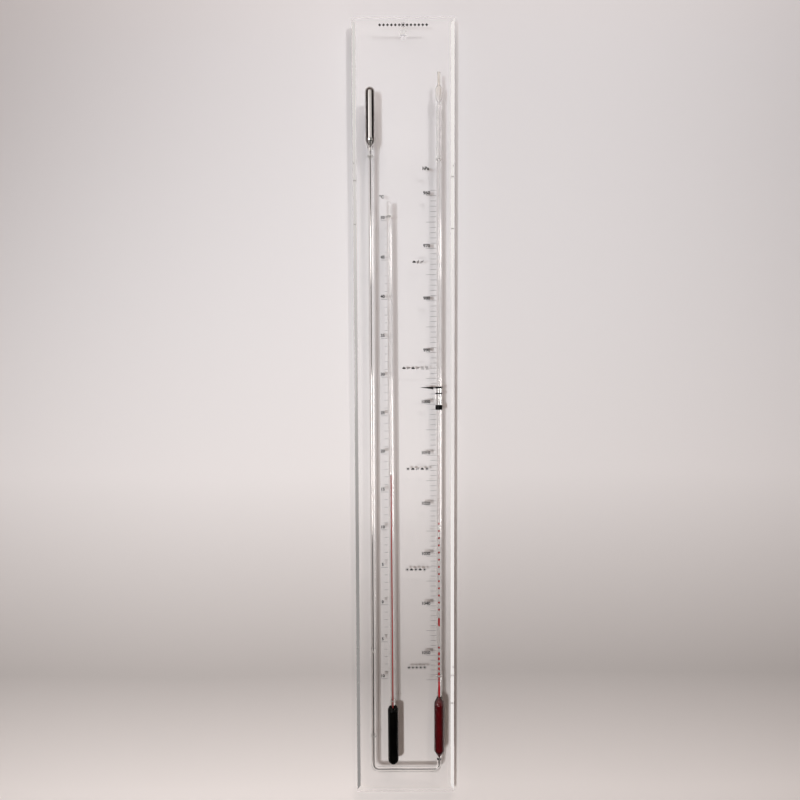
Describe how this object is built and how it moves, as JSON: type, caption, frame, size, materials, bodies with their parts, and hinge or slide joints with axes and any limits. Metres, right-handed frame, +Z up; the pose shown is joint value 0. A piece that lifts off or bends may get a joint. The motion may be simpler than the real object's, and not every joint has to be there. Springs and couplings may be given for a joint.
{
  "type": "wall barometer",
  "caption": "Slim wall barometer: a mercury and red fluid U-tube on a clear bevelled plate, with a spirit thermometer and a marker that slides on the indicator tube.",
  "frame": {"origin": "axis of the hanging hole, in the plane of the plate's back face", "axes": "+Z up, +X to the right seen from the front, +Y into the wall; the front faces -Y"},
  "size_m": [0.12, 0.0231, 0.93],
  "materials": {
    "clear_acrylic": "clear, polished, with printed scales",
    "tube_glass": "clear blown glass",
    "clear_sleeve": "clear tube",
    "mercury": "liquid metal",
    "red_fluid": "dark red liquid",
    "red_spirit": "bright red liquid",
    "black_plastic": "glossy black",
    "wire": "bright drawn wire"
  },
  "bodies": {
    "frame": {"backplate": "clear_acrylic", "mercury_bulb": "tube_glass", "mercury_bulb_neck": "tube_glass", "mercury_leg_tube": "tube_glass", "bottom_bend": "tube_glass", "fluid_reservoir": "tube_glass", "reservoir_neck": "tube_glass", "indicator_tube": "tube_glass", "overflow_tube": "tube_glass", "overflow_bulb": "tube_glass", "mercury_in_bulb": "mercury", "mercury_in_neck": "mercury", "mercury_in_leg": "mercury", "mercury_in_bend": "mercury", "red_fluid_in_reservoir": "red_fluid", "red_fluid_in_neck": "red_fluid", "red_fluid_droplets": "red_fluid", "thermometer_stem": "tube_glass", "thermometer_bulb": "tube_glass", "thermometer_cap": "black_plastic", "spirit_in_bulb": "red_spirit", "spirit_column": "red_spirit", "mercury_leg_upper_loop": "wire", "mercury_leg_lower_loop": "wire", "indicator_upper_loop": "wire", "indicator_lower_loop": "wire", "thermometer_upper_loop": "wire", "thermometer_lower_loop": "wire"},
    "marker": {"marker_sleeve": "clear_sleeve", "marker_pointer": "black_plastic", "marker_middle_ring": "black_plastic", "marker_lower_band": "black_plastic"}
  },
  "joints": [
    {"name": "marker_slide", "type": "slide", "parent": "frame", "child": "marker", "axis": [0, 0, 1], "range_m": [-0.323, 0.263]}
  ]
}
